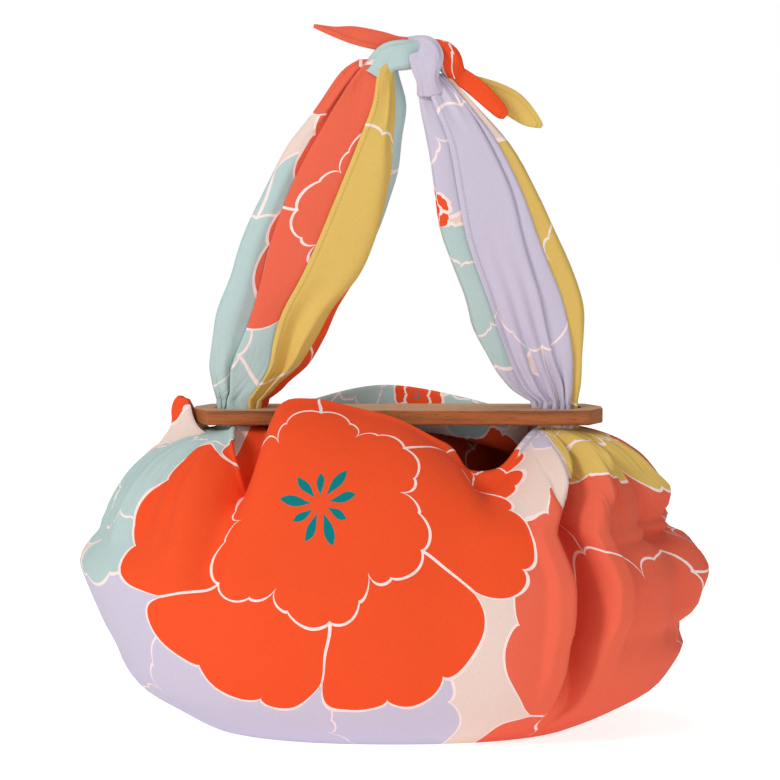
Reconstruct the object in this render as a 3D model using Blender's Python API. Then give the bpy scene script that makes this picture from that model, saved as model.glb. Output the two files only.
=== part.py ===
# Square cotton wrapping cloth tied as a bag, with a wooden handle plate.
# Two opposite corners of the cloth pass up through the holes of the plate and
# are knotted above it; the other two corners are tucked inside the mouth.
# Metres, +Z up, +X to the right, +Y to the back. The origin is the centre of
# the footprint on the surface that the bag stands on.

import math

import bmesh
import bpy
from mathutils import Vector

MM = 0.001

SHEET = 0.002            # thickness of the cloth
SEAT_GAP = 0.0003        # cloth to the underside of the plate

PLATE_CENTRE_X = 0.003
PLATE_BOTTOM = 0.2185
PLATE_THICKNESS = 0.011
PLATE_HALF_LENGTH = 0.147
PLATE_HALF_FLAT = 0.1365     # half length of the straight long edges
PLATE_HALF_DEPTH = 0.024
PLATE_HALF_TIP = 0.006       # half depth of the narrow end faces
PLATE_BEVEL = 0.0012
HOLE_RADIUS = 0.017
HOLE_OFFSET = 0.1145         # hole centre from the middle of the plate
HOLE_SIDES = 40

NECK_RADIUS = 0.0142
COLLAR_RADIUS = 0.0205
NECK_PLEATS = 9
PLEAT_DEPTH = 0.0008

ROUNDNESS = 2.25             # exponent of the bag's oval plan
CROWN_STEPS = 7              # rings between the wall and the rim
WALL_MIDDLE = 130            # height where slanting folds turn upright, millimetres
PLACE_SPACING = 2.7          # closest places round the bag, degrees
PLACE_GRID = 10              # places round the bag where it is smooth, degrees

# Oval rings of the bag's wall, from the flat base up, in millimetres.
WALL_COLUMNS = ("height", "left", "right", "front", "back")
WALL_ROWS = (
    (0, 45, 45, 28, 28),
    (0, 90, 88, 55, 55),
    (0, 126, 124, 77, 77),
    (3, 138, 136, 86, 86),
    (13, 156, 160, 98, 98),
    (28, 182, 188, 110, 111),
    (44, 196, 201, 119, 120),
    (60, 203, 209, 125, 126),
    (75, 211, 213, 128, 130),
    (90, 217, 220, 130, 131),
    (106, 223, 223, 131.5, 131.5),
    (120, 226.5, 223, 131.5, 131.5),
    (134, 220, 215, 129, 131),
    (145, 213, 207, 127, 129),
    (153, 208, 200, 125, 127),
)

# Mouth of the bag: how far round in degrees, and where the edge lies in
# millimetres. The stretches near x -111 and +118 are gathered into the necks.
RIM_COLUMNS = ("turn", "x", "y", "z")
RIM_ROWS = (
    (0, 131, 0, 212.5),
    (22, 128, 9, 212.5),
    (42, 116, 13, 212.5),
    (56, 98, 24, 214),
    (70, 62, 38, 228),
    (90, -5, 45, 239),
    (110, -60, 39, 229),
    (126, -93, 26, 214),
    (142, -110, 13, 212.5),
    (162, -122, 8, 212.5),
    (180, -124, 0, 212.5),
    (200, -121, -9, 212.5),
    (215, -117, -16, 212.5),
    (224, -117, -40, 211),
    (231, -112, -64, 196),
    (237, -103, -74, 172),
    (242, -97, -62, 188),
    (247, -83, -46, 231),
    (255, -60, -41, 237),
    (264, -30, -40, 231),
    (274, 6, -41, 221),
    (283, 40, -45, 199),
    (289, 57, -54, 176),
    (296, 76, -46, 183),
    (302, 94, -28, 206),
    (309, 107, -13, 212.5),
    (330, 122, -11, 212.5),
    (346, 129, -6, 212.5),
)

# Folds that run up the wall: where round the bag at their foot and from the
# middle up in degrees, half width in degrees, depth in millimetres (positive
# is a trough, negative a ridge) and the heights where they fade out.
FOLD_COLUMNS = ("foot", "middle", "spread", "depth", "low", "high")
FOLD_ROWS = (
    (317, 309, 2.8, 20, 10, 240),
    (324, 315.5, 3.0, -9, 40, 232),
    (338, 335, 4.5, 8, 60, 225),
    (350, 348, 4.0, -5, 90, 222),
    (302, 301, 3.4, -5, 60, 226),
    (296, 295, 3.2, 5, 150, 215),
    (241, 237, 3.6, 9, 105, 190),
    (229, 228, 3.6, -5, 120, 226),
    (212, 214, 3.6, 6, 120, 232),
    (202, 204, 3.4, -5, 130, 230),
    (188, 190, 3.6, 5, 110, 228),
    (170, 172, 3.6, 6, 110, 228),
    (156, 158, 3.4, -5, 90, 228),
    (144, 147, 3.6, 11, 30, 232),
    (128, 130, 4.2, -6, 60, 228),
    (58, 52, 3.6, 14, 20, 236),
    (70, 64, 4.2, -6, 60, 230),
    (36, 38, 3.6, -5, 80, 228),
    (24, 26, 3.6, 7, 60, 226),
    (10, 12, 3.4, -4, 100, 226),
    (282, 280, 8.0, 3, 40, 190),
)
FOLD_REACH = 14              # how far to each side a fold draws the cloth along, degrees

# Creases that run round the right side: where round the bag, half width in
# degrees, height, half height and depth in millimetres.
CREASE_COLUMNS = ("turn", "spread", "height", "rise", "depth")
CREASE_ROWS = (
    (350, 15, 146, 5, 13),
    (352, 17, 75, 8, 9),
    (352, 13, 168, 9, -8),
    (8, 15, 112, 10, -5),
    (188, 20, 140, 7, 4),
)

# Tucked corners that hang inside the mouth: first and last place round the
# rim in degrees, and how far down from the rim the middle reaches in millimetres.
FLAP_COLUMNS = ("name", "first", "last", "drop")
FLAP_ROWS = (
    ("front_corner", 247, 300, 150),
    ("back_corner", 68, 116, 150),
)
FLAP_COLUMNS_ACROSS = 9
FLAP_STEPS_DOWN = 6
FLAP_TAPER = 0.75            # how much shorter its sides are than its middle
FLAP_SEAM = 0.0012           # middle of the sheet below the wall's outer face at the rim
FLAP_INSET = 0.009           # the same, once the corner hangs free
FLAP_EASE = 0.03             # distance over which it parts from the wall
FLAP_PROBE_TURN = 3.0        # degrees and metres to the points that give its slope
FLAP_PROBE_DOWN = 0.01

# Left strap, level by level in millimetres: left fold, left edge of the
# pleated panel, hemmed edge of the front panel, its right fold, the layer
# behind it, and half the depth.
LEFT_COLUMNS = ("z", "left", "pleat", "hem", "right", "behind", "depth")
LEFT_ROWS = (
    (235, -126, -117, -105, -93, -94, 12),
    (241, -128, -115, -101, -84, -86, 13),
    (248, -130, -115, -96, -77, -79, 13),
    (260, -132, -114, -90, -62, -64, 14),
    (279, -130, -107, -86, -51, -53, 15),
    (300, -126, -99, -79, -41, -44, 15),
    (324, -117, -93, -66, -26, -28, 15),
    (350, -109, -86, -54, -14, -14, 15),
    (391, -90, -70, -37, -5, 0, 14),
    (418, -75, -56, -26, -3, 5, 13),
    (445, -54, -40, -16, -1, 8, 12),
    (469, -37, -24, -12, -1, 3, 11),
    (478, -24, -14, -6, 3, 5, 11),
)

# Right strap, level by level in millimetres: left fold, hemmed edge of the
# front panel, its right edge, the edge of the second panel, the right fold,
# and half the depth.
RIGHT_COLUMNS = ("z", "left", "front", "step", "second", "right", "depth")
RIGHT_ROWS = (
    (234, 98, 105, 120, 127, 132, 12),
    (241, 87, 97, 119, 128, 133, 12.5),
    (248, 80, 92, 118, 128, 134, 13),
    (263, 69, 84, 113, 128, 135, 14),
    (285, 57, 75, 108, 125, 136, 15),
    (310, 51, 66, 102, 119, 134, 15),
    (350, 35, 52, 90, 103, 118, 15),
    (386, 29, 45, 81, 90, 101, 14),
    (418, 24, 39, 66, 74, 83, 13),
    (444, 19, 29, 50, 55, 60, 12),
    (468, 15, 19, 30, 34, 38, 9),
)
LAYER_PITCH = 0.0032         # centre to centre of layers that lie together

# Strands of the knot: path, width and thickness in millimetres. The free ends
# below have the same columns.
STRAND_COLUMNS = ("x", "y", "z", "width", "thickness")
LEFT_STRAND = (
    (-10, -3, 472, 19, 16),
    (-3, -6, 479, 20, 14),
    (8, -9, 481, 20, 12),
    (20, -4, 482, 18, 12),
    (31, -3, 482, 17, 13),
    (38, -3, 479, 16, 13),
    (43, -1, 473, 13, 11),
    (47, 0, 466, 10, 9),
)
RIGHT_STRAND = (
    (27, -4, 460, 19, 14),
    (26, -10, 468, 22, 12),
    (24, -15, 477, 24, 9),
    (22, -13, 485, 23, 9),
    (20, -3, 491, 20, 10),
    (12, 4, 491, 16, 10),
    (3, 2, 489, 13, 9),
)

# Free ends of the cloth beyond the knot, folded in two along their length.
LEFT_TAIL = (
    (16, 2, 489, 8, 5),
    (4, 1, 489, 10, 6),
    (-10, 0, 491, 13.5, 6.5),
    (-29, -2, 495, 12.5, 6.5),
    (-43, -3, 497.5, 7, 6),
    (-57, -4, 501.5, 2.6, 5),
)
RIGHT_TAIL_FRONT = (
    (37, 0, 473, 9, 6),
    (46, -2, 467, 12, 7),
    (57, -4, 459, 13, 7),
    (69, -5, 448, 12, 7),
    (77, -5, 440, 9, 7),
)
RIGHT_TAIL_BACK = (
    (40, 3, 470, 7, 6),
    (55, 5, 463, 9, 6),
    (70, 6, 455, 16, 7),
    (84, 5, 447, 18, 7),
    (95, 3, 438, 14, 7),
    (103, 2, 432.5, 6.5, 6.5),
)

# Upright fold past the left tip of the plate.
EAR_COLUMNS = ("x", "z", "half")
EAR_ROWS = (
    (-170, 194, 32),
    (-164, 205, 28),
    (-158, 215, 22),
    (-153.5, 226, 15),
    (-151, 236.5, 8),
)
EAR_BOW = 0.014              # how far its sides curl outwards

CLOTH_COLOUR = (0.95, 0.17, 0.08, 1)
WOOD_COLOUR = (0.42, 0.19, 0.06, 1)


def named(columns, row):
    """One table row as a dictionary, millimetres kept."""
    return dict(zip(columns, row))


def smooth(amount):
    """Ease a 0 to 1 value in and out."""
    amount = min(1.0, max(0.0, amount))
    return amount * amount * (3 - 2 * amount)


def catmull(a, b, c, d, t):
    """Smooth value between b and c."""
    return 0.5 * (2 * b + (c - a) * t + (2 * a - 5 * b + 4 * c - d) * t * t
                  + (3 * b - a - 3 * c + d) * t ** 3)


def smooth_rows(rows, steps):
    """Rows of numbers with extra rows placed smoothly between them."""
    result = []
    for index in range(len(rows) - 1):
        before = rows[max(0, index - 1)]
        after = rows[min(len(rows) - 1, index + 2)]
        for step in range(steps):
            t = step / steps
            result.append([catmull(*four, t)
                           for four in zip(before, rows[index], rows[index + 1], after)])
    result.append(list(rows[-1]))
    return result


def turn_between(angle, other):
    """Signed difference of two directions in degrees, -180 to 180."""
    return (angle - other + 180) % 360 - 180


def rim_point(angle):
    """Edge of the mouth at a place round the bag."""
    rows = [named(RIM_COLUMNS, row) for row in RIM_ROWS]
    count = len(rows)
    for index, here in enumerate(rows):
        there = rows[(index + 1) % count]
        span = (there["turn"] - here["turn"]) % 360
        offset = (angle - here["turn"]) % 360
        if offset <= span:
            before = rows[index - 1]
            after = rows[(index + 2) % count]
            t = offset / span
            return Vector([catmull(before[key], here[key], there[key], after[key], t) * MM
                           for key in ("x", "y", "z")])
    raise ValueError("no rim row holds this turn")


def oval_point(row, angle):
    """Point of one oval ring of the wall."""
    ring = named(WALL_COLUMNS, row)
    cosine = math.cos(math.radians(angle))
    sine = math.sin(math.radians(angle))
    reach_x = ring["right"] if cosine > 0 else ring["left"]
    reach_y = ring["back"] if sine > 0 else ring["front"]
    power = 2 / ROUNDNESS
    return Vector((math.copysign(abs(cosine) ** power * reach_x, cosine) * MM,
                   math.copysign(abs(sine) ** power * reach_y, sine) * MM,
                   ring["height"] * MM))


def drawn_along(angle, height):
    """Place round the bag after the slanting folds have drawn the cloth along."""
    shift = 0.0
    weight = 0.0
    for row in FOLD_ROWS:
        fold = named(FOLD_COLUMNS, row)
        near = math.exp(-(turn_between(angle, fold["middle"]) / FOLD_REACH) ** 2)
        climb = smooth((height / MM) / WALL_MIDDLE)
        shift += (fold["foot"] - fold["middle"]) * (1 - climb) * near
        weight += near
    return angle + shift / max(1, weight)


def fold_depth(angle, height):
    """How far the folds draw the wall in at one place, in metres."""
    total = 0.0
    for row in FOLD_ROWS:
        fold = named(FOLD_COLUMNS, row)
        along = (height / MM - fold["low"]) / (fold["high"] - fold["low"])
        if 0 < along < 1:
            off = turn_between(angle, fold["middle"]) / fold["spread"]
            fade = smooth(min(along, 1 - along) * 4)
            total += fold["depth"] * MM * fade * math.exp(-off * off)
    for row in CREASE_ROWS:
        crease = named(CREASE_COLUMNS, row)
        off = turn_between(angle, crease["turn"]) / crease["spread"]
        rise = (height / MM - crease["height"]) / crease["rise"]
        total += crease["depth"] * MM * math.exp(-off * off - rise * rise)
    return total


def folded(point, angle):
    """Move a smooth wall point in or out by the folds there."""
    outward = Vector((point.x / 2.9, point.y, 0)).normalized()
    return point - outward * fold_depth(angle, point.z)


def wall_profile(angle):
    """Points up the wall at one place round the bag, from base to rim."""
    points = []
    for row in WALL_ROWS:
        height = row[0] * MM
        point = oval_point(row, drawn_along(angle, height))
        points.append(folded(point, angle) if height > 0 else point)
    wall = oval_point(WALL_ROWS[-1], angle)
    rim = rim_point(angle)
    shoulder = wall.lerp(rim, 0.2)
    shoulder.z = wall.z + (rim.z - wall.z) * 0.84
    for step in range(1, CROWN_STEPS + 1):
        t = step / CROWN_STEPS
        point = wall * (1 - t) ** 2 + shoulder * 2 * t * (1 - t) + rim * t * t
        points.append(folded(point, angle).lerp(point, smooth((t - 0.65) / 0.35)))
    return points


def places_round():
    """Places round the bag in degrees, closer together at the folds."""
    wanted = []
    for row in FOLD_ROWS:
        fold = named(FOLD_COLUMNS, row)
        wanted += [fold["middle"], fold["middle"] - fold["spread"], fold["middle"] + fold["spread"]]
    wanted += [named(RIM_COLUMNS, row)["turn"] for row in RIM_ROWS]
    wanted += [index * PLACE_GRID for index in range(360 // PLACE_GRID)]
    chosen = []
    for angle in wanted:
        angle = angle % 360
        if all(abs(turn_between(angle, other)) > PLACE_SPACING for other in chosen):
            chosen.append(angle)
    return sorted(chosen)


def new_object(name, mesh, location=(0, 0, 0)):
    """Link a mesh to the scene as an object."""
    item = bpy.data.objects.new(name, mesh)
    item.location = location
    bpy.context.collection.objects.link(item)
    return item


def mesh_from(name, points, faces):
    """Mesh whose faces point outwards."""
    form = bmesh.new()
    corners = [form.verts.new(point) for point in points]
    for face in faces:
        form.faces.new([corners[index] for index in face])
    bmesh.ops.recalc_face_normals(form, faces=form.faces)
    mesh = bpy.data.meshes.new(name)
    form.to_mesh(mesh)
    form.free()
    return mesh


def loft(name, rings, sheet=False):
    """Closed solid through rings of equal count; a sheet's ends are thin strips."""
    count = len(rings[0])
    points = [point for ring in rings for point in ring]
    faces = []
    for level in range(len(rings) - 1):
        for side in range(count):
            following = (side + 1) % count
            low = level * count
            faces.append((low + side, low + following, low + count + following, low + count + side))
    top = (len(rings) - 1) * count
    for start in (0, top):
        if sheet:
            faces += [(start + side, start + side + 1, start + count - 2 - side, start + count - 1 - side)
                      for side in range(count // 2 - 1)]
        else:
            faces.append(tuple(start + side for side in range(count)))
    return new_object(name, mesh_from(name, points, faces))


def thick_line(line, thickness):
    """Closed outline of a bent line with a thickness, in two dimensions."""
    left = []
    right = []
    for index, point in enumerate(line):
        before = line[max(0, index - 1)]
        after = line[min(len(line) - 1, index + 1)]
        first = (Vector(point) - Vector(before)) if index > 0 else (Vector(after) - Vector(point))
        last = (Vector(after) - Vector(point)) if index < len(line) - 1 else first
        first.normalize()
        last.normalize()
        normal = Vector((-(first.y + last.y), first.x + last.x))
        if normal.length < 0.35:
            normal = Vector((-first.y, first.x))
        normal.normalize()
        reach = min(1.35, 1 / max(0.4, abs(normal.dot(Vector((-first.y, first.x))))))
        offset = normal * thickness / 2 * reach
        left.append(Vector(point) + offset)
        right.append(Vector(point) - offset)
    return left + right[::-1]


def left_section(row):
    """Line of the left strap's layers at one level, seen from above."""
    at = {key: value * MM for key, value in named(LEFT_COLUMNS, row).items()}
    front = -at["depth"]
    width = at["right"] - at["left"]
    tuck = width * 0.13
    side_fold = at["pleat"] - at["left"]
    bulge = max(0, side_fold - 0.009) * 0.3
    under = front + LAYER_PITCH
    middle = front + LAYER_PITCH * 2
    inner = front + LAYER_PITCH * 3
    back = at["depth"]
    side = max(at["right"], at["behind"])
    return [
        (at["hem"], front),
        ((at["hem"] + at["right"]) / 2, front - 0.0008),
        (at["right"] - 0.003, front + 0.001),
        (at["right"], front + 0.004),
        (side - 0.001, front * 0.3),
        (side, back * 0.35),
        (side - 0.003, back * 0.8),
        (side - width * 0.25, back),
        (at["left"] + width * 0.45, back * 0.8),
        (at["left"] + width * 0.2, back),
        (at["left"] + 0.003, back * 0.7),
        (at["left"], back * 0.2),
        (at["left"] + 0.001, inner + 0.001),
        (at["left"] + side_fold * 0.2, inner - bulge * 0.6),
        (at["left"] + side_fold * 0.55, inner - bulge),
        (at["pleat"] - 0.003, inner - bulge * 0.2),
        (at["pleat"] + tuck, inner),
        (at["pleat"] + tuck + 0.0014, inner - LAYER_PITCH / 2),
        (at["pleat"] + tuck, middle),
        (at["pleat"], middle),
        (at["pleat"] - 0.0014, middle - LAYER_PITCH / 2),
        (at["pleat"], under),
        ((at["pleat"] + at["hem"]) / 2, under - 0.0006),
        (at["hem"] + tuck, under),
    ]


def right_section(row):
    """Line of the right strap's layers at one level, seen from above."""
    at = {key: value * MM for key, value in named(RIGHT_COLUMNS, row).items()}
    front = -at["depth"]
    width = at["right"] - at["left"]
    under = front + LAYER_PITCH
    inner = front + LAYER_PITCH * 2
    back = at["depth"]
    gather = 0.0022 * (1 - smooth((at["z"] - 0.25) / 0.12))
    panel = []
    for index in range(5):
        share = index / 4
        lift = gather * (1 if index % 2 else -0.4)
        panel.append((at["front"] + (at["step"] - at["front"]) * share, front + max(0, lift)))
    return panel + [
        (at["step"] + 0.002, front + 0.003),
        ((at["step"] + at["second"]) / 2, under + 0.0006),
        (at["second"] - 0.0006, under + 0.0012),
        (at["second"] + 0.0006, inner),
        ((at["second"] + at["right"]) / 2 + 0.0005, inner + 0.001),
        (at["right"] - 0.001, inner + 0.003),
        (at["right"], back * 0.3),
        (at["right"] - 0.003, back * 0.8),
        (at["right"] - width * 0.22, back),
        (at["left"] + width * 0.5, back * 0.8),
        (at["left"] + width * 0.22, back),
        (at["left"] + 0.002, back * 0.6),
        (at["left"], 0.0),
        (at["left"] + 0.001, inner + 0.002),
        (at["left"] + 0.004, inner + 0.0004),
        (at["front"] - 0.001, inner - 0.0004),
        (at["front"] + width * 0.14, inner),
    ]


def strap(name, rows, section):
    """Pleated strap lofted through its level sections."""
    rings = []
    for row in rows:
        level = row[0] * MM
        outline = thick_line(section(row), SHEET)
        rings.append([Vector((point.x, point.y, level)) for point in outline])
    return loft(name, rings, sheet=True)


def strand(name, rows, steps=2, sides=8):
    """Flattened band swept along a path, round at its edges."""
    stations = [named(STRAND_COLUMNS, row) for row in smooth_rows(rows, steps)]
    centres = [Vector((at["x"], at["y"], at["z"])) * MM for at in stations]
    rings = []
    for index, at in enumerate(stations):
        before = centres[max(0, index - 1)]
        after = centres[min(len(centres) - 1, index + 1)]
        tangent = (after - before).normalized()
        across = tangent.cross(Vector((0, 1, 0))).normalized()
        through = tangent.cross(across).normalized()
        ring = []
        for side in range(sides):
            angle = 2 * math.pi * side / sides
            ring.append(centres[index]
                        + across * math.cos(angle) * at["width"] * MM / 2
                        + through * math.sin(angle) * at["thickness"] * MM / 2)
        rings.append(ring)
    return loft(name, rings)


def folded_tail(name, rows, steps=1):
    """Free end folded in two along its length, open on its lower side."""
    stations = [named(STRAND_COLUMNS, row) for row in smooth_rows(rows, steps)]
    centres = [Vector((at["x"], at["y"], at["z"])) * MM for at in stations]
    rings = []
    for index, at in enumerate(stations):
        before = centres[max(0, index - 1)]
        after = centres[min(len(centres) - 1, index + 1)]
        tangent = (after - before).normalized()
        across = tangent.cross(Vector((0, -1, 0))).normalized()
        half = at["width"] * MM / 2
        deep = (at["thickness"] * MM - SHEET) / 2
        line = [(-half, -deep), (half * 0.2, -deep * 1.1), (half * 0.8, -deep * 0.8),
                (half, 0), (half * 0.8, deep * 0.8), (half * 0.2, deep * 1.1), (-half * 0.7, deep)]
        ring = [centres[index] + across * point.x + Vector((0, point.y, 0))
                for point in thick_line(line, SHEET)]
        rings.append(ring)
    return loft(name, rings, sheet=True)


def neck(name, centre_x):
    """Pleated bundle that passes up through a hole, with a collar under it."""
    seat = PLATE_BOTTOM - SEAT_GAP
    levels = (
        (PLATE_BOTTOM - 0.018, 0.013),
        (PLATE_BOTTOM - 0.010, 0.018),
        (PLATE_BOTTOM - 0.004, COLLAR_RADIUS),
        (seat, COLLAR_RADIUS - 0.001),
        (seat, NECK_RADIUS),
        (PLATE_BOTTOM + PLATE_THICKNESS + 0.002, NECK_RADIUS),
        (PLATE_BOTTOM + PLATE_THICKNESS + 0.010, 0.012),
        (PLATE_BOTTOM + PLATE_THICKNESS + 0.018, 0.007),
    )
    sides = NECK_PLEATS * 2
    rings = []
    for height, radius in levels:
        ring = []
        for side in range(sides):
            angle = 2 * math.pi * side / sides
            reach = radius - PLEAT_DEPTH * (1 - math.cos(NECK_PLEATS * angle)) / 2
            ring.append(Vector((centre_x + reach * math.cos(angle), reach * math.sin(angle), height)))
        rings.append(ring)
    return loft(name, rings)


def add_solidify(item, inward=True):
    """Give an open sheet its thickness."""
    shell = item.modifiers.new("thickness", "SOLIDIFY")
    shell.thickness = SHEET
    shell.offset = -1 if inward else 0
    shell.use_even_offset = False
    shell.use_rim = True


def bag_body():
    """Open bag: flat base, folded wall and uneven mouth, as one sheet."""
    angles = places_round()
    columns = [wall_profile(angle) for angle in angles]
    count = len(angles)
    levels = len(columns[0])
    points = [Vector((0, 0, 0))]
    for level in range(levels):
        points += [column[level] for column in columns]
    faces = []
    for side in range(count):
        following = (side + 1) % count
        faces.append((0, 1 + following, 1 + side))
        for level in range(levels - 1):
            low = 1 + level * count
            faces.append((low + side, low + following, low + count + following, low + count + side))
    item = new_object("cloth", mesh_from("cloth", points, faces))
    add_solidify(item)
    return item


def below_rim(angle, distance):
    """Point of the wall that lies a distance down from the rim, along the cloth."""
    points = wall_profile(angle)[::-1]
    for start, end in zip(points, points[1:]):
        length = (end - start).length
        if distance <= length:
            return start.lerp(end, distance / length)
        distance -= length
    return points[-1]


def tucked_corner(name, first, last, drop):
    """Corner of the cloth folded over the rim, hanging inside close to the wall."""
    points = []
    for across in range(FLAP_COLUMNS_ACROSS + 1):
        share = across / FLAP_COLUMNS_ACROSS
        angle = first + (last - first) * share
        reach = drop * MM * (1 - abs(2 * share - 1) * FLAP_TAPER)
        for step in range(FLAP_STEPS_DOWN + 1):
            distance = reach * step / FLAP_STEPS_DOWN
            point = below_rim(angle, distance)
            around = below_rim(angle + FLAP_PROBE_TURN, distance) - point
            down = below_rim(angle, distance + FLAP_PROBE_DOWN) - point
            inward = around.cross(down).normalized()
            inset = FLAP_SEAM + (FLAP_INSET - FLAP_SEAM) * smooth(distance / FLAP_EASE)
            points.append(point + inward * inset)
    row = FLAP_STEPS_DOWN + 1
    faces = []
    for across in range(FLAP_COLUMNS_ACROSS):
        for step in range(FLAP_STEPS_DOWN):
            low = across * row + step
            faces.append((low, low + 1, low + row + 1, low + row))
    item = new_object(name, mesh_from(name, points, faces))
    add_solidify(item, inward=False)
    return item


def ear():
    """Upright fold of the gathers past the left tip of the plate."""
    rings = []
    for row in EAR_ROWS:
        at = {key: value * MM for key, value in named(EAR_COLUMNS, row).items()}
        line = []
        for index in range(7):
            share = index / 3 - 1
            line.append((at["x"] - EAR_BOW * share * share, at["half"] * share))
        rings.append([Vector((point.x, point.y, at["z"])) for point in thick_line(line, SHEET)])
    return loft("ear", rings, sheet=True)


def join_into(item, piece):
    """Fuse a piece into the item and leave the piece as a guide only."""
    union = item.modifiers.new(piece.name, "BOOLEAN")
    union.operation = "UNION"
    union.solver = "EXACT"
    union.object = piece
    piece.hide_render = True
    piece.display_type = "WIRE"


def material(name, colour, roughness):
    """Plain finish."""
    finish = bpy.data.materials.new(name)
    finish.use_nodes = True
    shader = finish.node_tree.nodes["Principled BSDF"]
    shader.inputs["Base Color"].default_value = colour
    shader.inputs["Roughness"].default_value = roughness
    shader.inputs["Metallic"].default_value = 0
    return finish


def cloth():
    """The whole wrapping cloth, fused into one body."""
    item = bag_body()
    for row in FLAP_ROWS:
        flap = named(FLAP_COLUMNS, row)
        join_into(item, tucked_corner(flap["name"], flap["first"], flap["last"], flap["drop"]))
    join_into(item, ear())
    join_into(item, neck("left_neck", PLATE_CENTRE_X - HOLE_OFFSET))
    join_into(item, neck("right_neck", PLATE_CENTRE_X + HOLE_OFFSET))
    join_into(item, strap("left_strap", LEFT_ROWS, left_section))
    join_into(item, strap("right_strap", RIGHT_ROWS, right_section))
    join_into(item, strand("left_strand", LEFT_STRAND))
    join_into(item, strand("right_strand", RIGHT_STRAND))
    join_into(item, folded_tail("left_tail", LEFT_TAIL))
    join_into(item, folded_tail("right_tail_back", RIGHT_TAIL_BACK))
    join_into(item, folded_tail("right_tail_front", RIGHT_TAIL_FRONT))
    item.data.materials.append(material("printed_cotton", CLOTH_COLOUR, 0.75))


def wooden_plate():
    """Long plate with pointed ends and a hole at each end."""
    outline = []
    for x, y in ((1, -1), (1, 1), (-1, 1), (-1, -1)):
        flat = (x * PLATE_HALF_FLAT, y * PLATE_HALF_DEPTH)
        tip = (x * PLATE_HALF_LENGTH, y * PLATE_HALF_TIP)
        outline += [flat, tip] if x * y < 0 else [tip, flat]
    low = [(x, y, 0) for x, y in outline]
    high = [(x, y, PLATE_THICKNESS) for x, y in outline]
    plate = loft("wooden_plate", [[Vector(point) for point in low], [Vector(point) for point in high]])
    plate.location = (PLATE_CENTRE_X, 0, PLATE_BOTTOM)
    for side in (-1, 1):
        bpy.ops.mesh.primitive_cylinder_add(
            vertices=HOLE_SIDES, radius=HOLE_RADIUS, depth=PLATE_THICKNESS * 3,
            location=(PLATE_CENTRE_X + side * HOLE_OFFSET, 0, PLATE_BOTTOM + PLATE_THICKNESS / 2))
        cutter = bpy.context.object
        cutter.name = "hole_cutter"
        cut = plate.modifiers.new("hole", "BOOLEAN")
        cut.operation = "DIFFERENCE"
        cut.solver = "EXACT"
        cut.object = cutter
        cutter.hide_render = True
        cutter.display_type = "WIRE"
    edge = plate.modifiers.new("eased edges", "BEVEL")
    edge.width = PLATE_BEVEL
    edge.segments = 2
    edge.limit_method = "ANGLE"
    edge.angle_limit = math.radians(30)
    plate.data.materials.append(material("oiled_oak", WOOD_COLOUR, 0.5))


def main():
    """Clear the scene and build both pieces."""
    for item in list(bpy.data.objects):
        bpy.data.objects.remove(item, do_unlink=True)
    cloth()
    wooden_plate()


main()
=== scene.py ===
import math

import bpy
import numpy as np
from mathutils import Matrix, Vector, noise


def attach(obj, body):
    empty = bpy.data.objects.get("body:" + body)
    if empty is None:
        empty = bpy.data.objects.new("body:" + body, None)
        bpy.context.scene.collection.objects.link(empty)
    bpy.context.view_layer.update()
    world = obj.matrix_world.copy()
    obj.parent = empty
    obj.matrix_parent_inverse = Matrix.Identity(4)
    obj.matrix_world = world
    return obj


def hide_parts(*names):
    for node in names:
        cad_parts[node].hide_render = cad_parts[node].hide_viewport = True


# A printed cotton wrapping cloth tied as a bag through a wooden handle plate.
# +X is to the right along the plate, +Y to the back. Tables are in millimetres.

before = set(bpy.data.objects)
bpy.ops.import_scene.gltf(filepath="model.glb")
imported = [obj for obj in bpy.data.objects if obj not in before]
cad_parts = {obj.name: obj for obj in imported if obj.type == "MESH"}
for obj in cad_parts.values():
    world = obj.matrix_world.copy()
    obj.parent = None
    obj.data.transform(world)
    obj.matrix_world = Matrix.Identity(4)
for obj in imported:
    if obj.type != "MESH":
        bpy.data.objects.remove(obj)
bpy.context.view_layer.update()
mm = 0.001
print("frame loaded")


def smooth(amount):
    amount = np.clip(amount, 0, 1)
    return amount * amount * (3 - 2 * amount)


def catmull(a, b, c, d, t):
    return 0.5 * (2 * b + (c - a) * t + (2 * a - 5 * b + 4 * c - d) * t * t
                  + (3 * b - a - 3 * c + d) * t ** 3)


def smoothRows(rows, steps):
    rows = np.array(rows, float)
    last = len(rows) - 1
    result = []
    for index in range(last):
        for step in range(steps):
            result.append(catmull(rows[max(0, index - 1)], rows[index], rows[index + 1],
                                  rows[min(last, index + 2)], step / steps))
    result.append(rows[last])
    return np.array(result)


def turnBetween(angle, other):
    return (angle - other + 180) % 360 - 180


# 1 from the first turn to the last, easing to 0 outside them
def within(turns, first, last, soft):
    off = np.abs(turnBetween(turns, (first + last) / 2))
    return smooth(((last - first) / 2 - off) / soft)


def newObject(name, data):
    item = bpy.data.objects.new(name, data)
    bpy.context.scene.collection.objects.link(item)
    return item


def unit(vectors):
    return vectors / np.maximum(np.linalg.norm(vectors, axis=-1, keepdims=True), 1e-9)


def pathLengths(points, axis):
    steps = np.linalg.norm(np.diff(points, axis=axis), axis=-1)
    start = np.zeros_like(np.take(steps, [0], axis=axis))
    return np.concatenate([start, np.cumsum(steps, axis=axis)], axis=axis)


def softNoise(points, scale, seed):
    flat = points.reshape(-1, 3)
    values = [noise.noise(Vector(point * scale) + Vector((seed, 0, 0))) for point in flat]
    return np.array(values).reshape(points.shape[:-1])


def linear(red, green, blue):
    result = []
    for value in (red, green, blue):
        value = value / 255
        result.append(value / 12.92 if value <= 0.04045 else ((value + 0.055) / 1.055) ** 2.4)
    return tuple(result) + (1,)


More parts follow.
